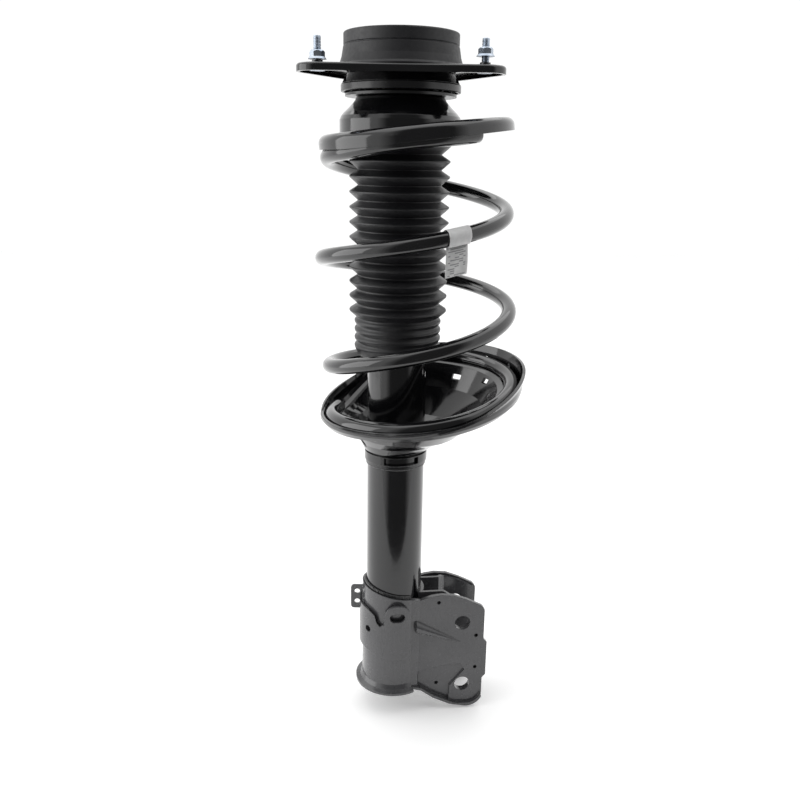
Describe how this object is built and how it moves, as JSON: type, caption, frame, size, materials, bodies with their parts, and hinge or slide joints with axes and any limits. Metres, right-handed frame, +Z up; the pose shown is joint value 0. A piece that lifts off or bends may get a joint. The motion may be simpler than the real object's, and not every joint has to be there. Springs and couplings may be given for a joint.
{
  "type": "suspension strut assembly",
  "caption": "Front suspension strut: telescopic damper with offset coil spring, bellows boot, rotating top mount with threaded studs, and a two-bolt clevis bracket.",
  "frame": {"origin": "centre of the circle of mount studs, on the top face of the mount plate", "axes": "+Z up the piston rod, out of the stud ends; +X outboard, towards the knuckle bracket"},
  "size_m": [0.1949, 0.1787, 0.599],
  "materials": {
    "gloss_black_paint": "gloss",
    "spring_paint": "gloss",
    "matt_rubber": "matt",
    "boot_rubber": "satin",
    "foam": "matt",
    "zinc_plate": "satin",
    "hard_chrome": "polished",
    "bearing_plastic": "satin",
    "bearing_steel": "polished",
    "bare_steel": "machined",
    "ptfe": "matt",
    "label_paper": "matt"
  },
  "bodies": {
    "top_mount": {"mount_plate": "gloss_black_paint", "mount_studs": "zinc_plate", "stud_nuts": "zinc_plate", "mount_rubber": "matt_rubber", "mount_housing": "gloss_black_paint", "mount_lower_cup": "gloss_black_paint", "mount_bush": "matt_rubber", "mount_sleeve": "bare_steel", "rod_washer": "zinc_plate", "rod_nut": "zinc_plate", "bearing_upper_housing": "bearing_plastic", "piston_rod": "hard_chrome", "bump_stop_cup": "bearing_plastic", "bump_stop": "foam", "rebound_cushion": "matt_rubber", "rebound_ring": "bare_steel", "piston": "bare_steel", "piston_band": "ptfe", "piston_valve_discs": "bare_steel", "piston_nut": "bare_steel"},
    "bearing": {"bearing_cage": "bearing_plastic", "bearing_balls": "bearing_steel"},
    "upper_seat": {"bearing_lower_housing": "bearing_plastic", "upper_spring_seat": "gloss_black_paint", "upper_isolator": "matt_rubber", "coil_spring": "spring_paint", "coil_label": "label_paper", "dust_boot": "boot_rubber"},
    "lower_strut": {"outer_tube": "gloss_black_paint", "tube_top_cap": "gloss_black_paint", "oil_seal": "matt_rubber", "rod_guide": "bare_steel", "guide_bush": "bare_steel", "pressure_tube": "bare_steel", "base_valve": "bare_steel", "tube_end_cap": "gloss_black_paint", "seat_collar": "gloss_black_paint", "seat_weld": "gloss_black_paint", "lower_spring_seat": "gloss_black_paint", "knuckle_bracket_outer": "gloss_black_paint", "knuckle_bracket_inner": "gloss_black_paint", "hose_bracket": "gloss_black_paint", "cable_tab": "gloss_black_paint", "bracket_weld": "gloss_black_paint"}
  },
  "joints": [
    {"name": "steer", "type": "hinge", "parent": "top_mount", "child": "upper_seat", "pos_m": [0, 0, -0.0192], "axis": [0, 0, 1], "range_deg": [-40, 40]},
    {"name": "bearing_roll", "type": "hinge", "parent": "top_mount", "child": "bearing", "pos_m": [0, 0, -0.016], "axis": [0, 0, 1], "range_deg": [-20, 20]},
    {"name": "strut_travel", "type": "slide", "parent": "upper_seat", "child": "lower_strut", "axis": [0, 0, 1], "range_m": [0, 0.122], "stiffness_N_per_m": 22000, "deforming": ["coil_spring", "dust_boot", "coil_label"]}
  ],
  "couplings": [
    {"joint": "bearing_roll", "follows": "steer", "ratio": 0.5}
  ]
}
